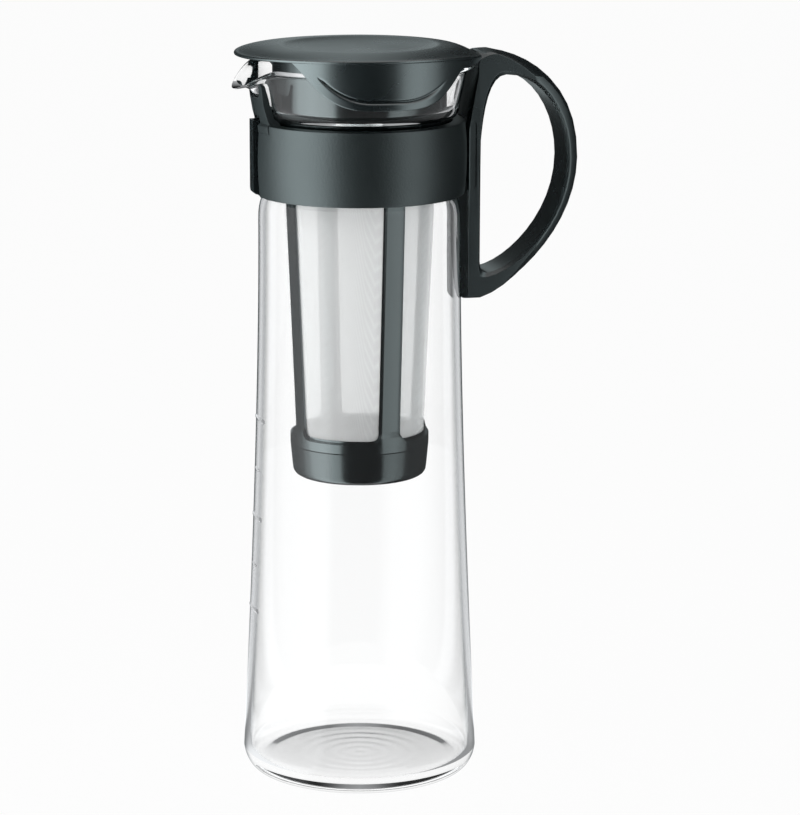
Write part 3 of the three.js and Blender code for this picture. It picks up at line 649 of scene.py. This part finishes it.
def glass_profile():
    """The section from under the floor's centre, up the outside and down the inside."""
    punt = []
    for k in range(FLOOR_ROWS + 1):
        r = PUNT_EDGE * k / FLOOR_ROWS
        arch = PUNT_HEIGHT * (1 - (r / PUNT_REACH) ** 2)
        punt.append((r, arch + PUNT_GAP + floor_waves(r)))
    foot = outline(
        punt[-1],
        (5, (38.2, 0.05), (FOOT_RADIUS, 0)),
        (1, (FOOT_RADIUS + FOOT_WIDTH, 0)),
        (14, (44.6, 0.1), (46.6, 2.6), BODY_FOOT),
    )
    upper = outline(
        BODY_TOP,
        (14, (40.2, 238.75), (WAIST, 235.35), (WAIST, 243)),
        (2, (WAIST, 257)),
        (5, (WAIST, 262), (37.1, 266.4)),
        (6, (39.6, LEDGE_TOP), (39.6, 271.6)),
        (7, (41.04, 277.27), (42, 282.8)),
        (7, (42.75, 285.8), (44.6, 286.1)),
        (4, (45.5, 286.3), (45.4, 287)),
        (5, (45.2, RIM_TOP), (43.8, RIM_TOP)),
        (8, (41.3, 287.3), (40.6, 282.8)),
        (7, (39.7, 277.27), (38.3, 271.6)),
        (5, (37.2, 269), (34.7, LEDGE_TOP)),
        (6, (33.2, 264.2), (WAIST_INSIDE, 262.4), (WAIST_INSIDE, 260)),
        (1, (WAIST_INSIDE, 252)),
        (1, (WAIST_INSIDE, 243)),
        (14, (WAIST_INSIDE, 235.35), (37.8, 237.9), (37.8, 226)),
        (BODY_ROWS, (37.8, 149.7), (44.9, 12)),
        (14, (45.1, 5.2), (41.5, FLOOR_TOP + 0.3), (FLOOR_EDGE, FLOOR_TOP)),
    )
    floor = []
    for k in range(1, FLOOR_ROWS + 1):
        r = FLOOR_EDGE * (1 - k / FLOOR_ROWS)
        floor.append((r, FLOOR_TOP + WAVE_ABOVE * floor_waves(r)))
    return punt + foot[1:] + body_outline() + upper[1:] + floor


def wall_middle(z):
    """A radius within the body's wall, beside the marks: only its outside lies beyond."""
    return WALL_FOOT - WALL_TAPER * z


def glass_place(r, turn, z):
    """Crowds the segments at the spout and pulls the rim out and down there."""
    even = turn - math.pi
    off = even - SPOUT_CROWDING * math.sin(even)
    rise = max(0, (z - LEDGE_TOP) / (RIM_TOP - LEDGE_TOP))
    reach = SPOUT_SPREAD + SPOUT_FLARE * smooth_step(rise, SPOUT_FLARE_START, 1)
    pull = math.cos(min(abs(off) / reach, 1) * math.pi / 2) ** 2
    outer = r + SPOUT_PULL * pull * rise**2
    if r > wall_middle(z):
        for level, half in MARKS:
            near = 1 - smooth_step(abs(z - level) / MARK_HEIGHT, *MARK_FLANK)
            across = 1 - smooth_step(abs(r * off), half - MARK_TIP, half)
            outer += MARK_PROUD * near * across
    return -outer * math.cos(off), outer * math.sin(off), z - SPOUT_DROP * pull * rise**3


def add_glass():
    bm = bmesh.new()
    turned(bm, glass_profile(), GLASS_SEGMENTS, glass_place)
    glass = built("jug_glass", bm)
    dress(glass, clear_glass())
    glass.visible_shadow = False
    glass.visible_glossy = False
    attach(glass, "jug_body")
    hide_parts("glass_jug")


# Lid, in millimetres from the jug's axis

LID_SEGMENTS = 160
LID_RADIUS = 48.1
LID_RIM = 293.5  # level of the rim's top
LID_CUP = 36.1  # radius of its seat on the strainer's cup
LID_SEAT = 290.8
LID_EDGE = (46.4, 292.2)  # where its underside turns up into the rim
LID_CUT = 45.6  # where it ends before the handle
RING_OUTSIDE = 33.9
RING_INSIDE = 32.4
RING_LOW = 283.8
RING_BEVEL = 0.4
CREST = (32.4, 294.95)
DISH_EDGE = (30.2, 294.75)
BOW_SPOUT = 0.9  # how far the rim bows down at the spout
BOW_HANDLE = 3.0  # and at the handle
BEAK_LENGTH = 1.4
BEAK_SHARPNESS = 6

LOBE_STEPS = 110
LOBE_DROP = 19.2
LOBE_HALF_ANGLE = 51
LOBE_LEAST = 0.9
LOBE_TAIL = 8.5  # depth of the low strip that runs on to the handle
LOBE_FILLET = 0.35  # how much fuller the corner is where it meets the lobe
LOBE_FILLET_WIDTH = 1.2
LOBE_WALL = 1.5
LOBE_RADIUS = 47.2  # of the outer face, at the lower edge
LOBE_FLARE = 0.45
LOBE_END = 74  # degrees from the lobe's middle to the cut at the handle
FULL_FACE = 8  # a lobe less deep than this has its whole face made smaller

GROOVE_RISE = 3.5  # above the lower edge
GROOVE_LIFT = 1.9  # how much higher it starts at its two ends
GROOVE_LIFT_ANGLES = (8, 36)
GROOVE_DEPTH = 0.85
GROOVE_WIDTH = 0.45
GROOVE_LEFT_FADE = (30.5, 33)  # degrees from the lobe's middle
LIP_PROUD = 0.45  # how far the lip below the groove stands out
LIP_FLANK = (1.6, 0.3)  # below the groove's middle
LIP_LEFT_FADE = (12, 33)
RIGHT_FADE = (18, 31)  # of groove and lip


def lid_bow(x):
    return (BOW_SPOUT if x < 0 else BOW_HANDLE) * abs(x / LID_RADIUS) ** 3


def lid_profile():
    """The plate's section from below the centre, round the rim and back over the dish."""
    under = LID_RIM - 0.9
    lip = LID_RIM + 0.05
    rim = LID_RADIUS
    below = [
        (0, under - 1.5),
        (16, under - 1.4),
        (28, under - 0.5),
        (RING_INSIDE - 0.6, under),
        (RING_INSIDE, under - 0.5),
        (RING_INSIDE, RING_LOW + RING_BEVEL),
        (RING_INSIDE + RING_BEVEL, RING_LOW),
        (RING_OUTSIDE - RING_BEVEL, RING_LOW),
        (RING_OUTSIDE, RING_LOW + RING_BEVEL),
        (RING_OUTSIDE, LID_SEAT - 0.3),
        (RING_OUTSIDE + 0.2, LID_SEAT),
        (LID_CUP, LID_SEAT),
        (LID_CUP + 0.5, LID_SEAT + 1),
        (40, 292.05),
        (44, 292.15),
    ]
    above = outline(
        LID_EDGE,
        (5, (rim, 292.2), (rim, 292.8)),
        (6, (rim, lip), (rim - 0.9, lip)),
        (3, (rim - 1.5, LID_RIM), (rim - 2.2, LID_RIM + 0.1)),
        (8, (38, 294.75), CREST),
        (5, (31.2, 295), DISH_EDGE),
        (9, (24, 293), (12, 292.95)),
        (3, (6, 292.9), (0, 292.9)),
    )
    return below + above


def cut_before_handle(bm):
    whole = bm.verts[:] + bm.edges[:] + bm.faces[:]
    done = bmesh.ops.bisect_plane(
        bm, geom=whole, plane_co=(LID_CUT, 0, 0), plane_no=(1, 0, 0), clear_outer=True
    )
    edges = [part for part in done["geom_cut"] if isinstance(part, bmesh.types.BMEdge)]
    bmesh.ops.holes_fill(bm, edges=edges, sides=0)


def lid_place(r, turn, z):
    """Draws the rim out to a short beak over the spout and bows it down."""
    x, y = r * math.cos(turn), r * math.sin(turn)
    edge = smooth_step(r, LID_CUP, LID_RADIUS)
    beak = edge * BEAK_LENGTH * max(0, -math.cos(turn)) ** BEAK_SHARPNESS
    stretch = 1 + beak / LID_RADIUS
    return x * stretch, y * stretch, z - edge * lid_bow(x)


def lobe_depth(degrees):
    """How far the lobe reaches below the rim at an angle from its middle."""
    share = min(abs(degrees / LOBE_HALF_ANGLE), 1)
    depth = LOBE_DROP * (1 - smooth_step(share**2, 0, 1))
    if degrees <= 0:
        return max(depth, LOBE_LEAST)
    tail = LOBE_TAIL * (1 - degrees / 90)
    fillet = LOBE_FILLET * math.exp(-(((depth - tail) / LOBE_FILLET_WIDTH) ** 2))
    return max(depth, tail) + fillet


def lobe_face(rise, degrees):
    """How far the lobe's outer face stands out at a height above its lower edge."""
    right = smooth_step(degrees, *RIGHT_FADE)
    middle = GROOVE_RISE + GROOVE_LIFT * smooth_step(abs(degrees), *GROOVE_LIFT_ANGLES)
    groove = GROOVE_DEPTH * math.exp(-(((rise - middle) / GROOVE_WIDTH) ** 2))
    groove *= 1 - smooth_step(-degrees, *GROOVE_LEFT_FADE) - right
    below, top = LIP_FLANK
    lip = LIP_PROUD * (1 - smooth_step(rise, middle - below, middle - top))
    return lip * (1 - smooth_step(-degrees, *LIP_LEFT_FADE) - right) - groove


def lobe_section(degrees):
    """The wall's section at an angle: (out, up) from its outer lower edge, as a closed ring."""
    depth = lobe_depth(degrees)
    scale = min(depth / FULL_FACE, 1)
    rises = [0.5, 0.8, 1.2, 1.6, 2.0, 2.4]
    rises += [2.6 + 0.16 * k for k in range(22)]  # finer rows for the groove
    rises += [6.5, 7.2]
    rises = [rise * scale for rise in rises]
    rises += [rises[-1] + (depth - 0.65 - rises[-1]) * k / 8 for k in range(1, 9)]
    lip = lobe_face(0, degrees) * scale
    top = rises[-1]
    ring = [(lip + out, up * scale) for out, up in ((-0.5, 0), (-0.15, 0.08), (-0.02, 0.25))]
    ring += [(lobe_face(rise / scale, degrees) * scale, rise) for rise in rises]
    ring += [(-LOBE_WALL, up) for up in (top, top * 0.66, top * 0.33, 0.4 * scale)]
    ring += [(-LOBE_WALL + 0.15, 0.1 * scale)]
    return [(out, up + LID_RIM - depth) for out, up in ring]


def lobe_wall(bm, side):
    """One lobe's wall with its tail, from its end by the spout to the handle."""
    rows = []
    for k in range(LOBE_STEPS + 1):
        degrees = -LOBE_HALF_ANGLE + (LOBE_END + LOBE_HALF_ANGLE) * k / LOBE_STEPS
        turn = math.radians(degrees)
        row = []
        for out, z in lobe_section(degrees):
            flare = LOBE_FLARE * (z - LID_RIM + LOBE_DROP) / LOBE_DROP
            r = LOBE_RADIUS + flare + out
            x = r * math.sin(turn)
            row.append(bm.verts.new((x, side * r * math.cos(turn), z - lid_bow(x))))
        rows.append(row)
    count = len(rows[0])
    for near, far in zip(rows, rows[1:]):
        for k in range(count):
            n = (k + 1) % count
            bm.faces.new((near[k], far[k], far[n], near[n]))
    bm.faces.new(rows[0])
    bm.faces.new(rows[-1][::-1])


def add_lid(look):
    bm = bmesh.new()
    turned(bm, lid_profile(), LID_SEGMENTS, lid_place)
    cut_before_handle(bm)
    plate = built("lid_plate", bm)
    lobes = []
    for name, side in (("near_lobe", -1), ("far_lobe", 1)):
        bm = bmesh.new()
        lobe_wall(bm, side)
        cut_before_handle(bm)
        lobes.append(built(name, bm))
    for made in (plate, *lobes):
        dress(made, look)
        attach(made, "lid")
        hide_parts("lid")


# The pot

GLOSS_BLACK = (0.003, 0.0045, 0.0048)
SATIN_BLACK = (0.005, 0.0075, 0.0085)
GRAIN_BLACK = (0.0055, 0.0075, 0.008)
EDGE_SEGMENTS = 3
PANEL_EDGE = 0.05 * MM

add_camera()
for softbox in SOFTBOXES:
    add_softbox(*softbox)
add_cards()
add_world()
add_floor()

GLOSS = moulded_plastic(
    "gloss_plastic", GLOSS_BLACK, roughness=0.14, grain=0.5 * MM, depth=0.002 * MM, shine=1
)
CAP_GLOSS = moulded_plastic(
    "cap_plastic", GLOSS_BLACK, roughness=0.15, grain=0.5 * MM, depth=0.002 * MM, shine=0.8
)
SATIN = moulded_plastic(
    "satin_plastic", SATIN_BLACK, roughness=0.27, grain=0.35 * MM, depth=0.006 * MM, shine=1
)
LID_SATIN = moulded_plastic(
    "lid_plastic",
    SATIN_BLACK,
    roughness=0.28,
    grain=0.3 * MM,
    depth=0.002 * MM,
    shine=1,
    index=1.64,
)
GRAINED = moulded_plastic(
    "grained_plastic", GRAIN_BLACK, roughness=0.42, grain=0.9 * MM, depth=0.07 * MM, shine=0.85
)
MESH = woven_mesh()

for node, look, edge in (  # the edge's width in millimetres
    ("neck_band", GRAINED, 0.3),
    ("band_clasp", SATIN, 0.25),
    ("handle", SATIN, 0.4),
    ("strainer_frame", GLOSS, 0.2),
    ("strainer_cap", CAP_GLOSS, 0.3),
):
    dress(NODES[node], look)
    round_edges(NODES[node], edge * MM, EDGE_SEGMENTS)
for node in sorted(NODES):
    if node.startswith("mesh_panel"):
        dress(NODES[node], MESH)
        round_edges(NODES[node], PANEL_EDGE, 1)
add_glass()
add_lid(LID_SATIN)

bpy.context.scene.view_settings.view_transform = "Standard"
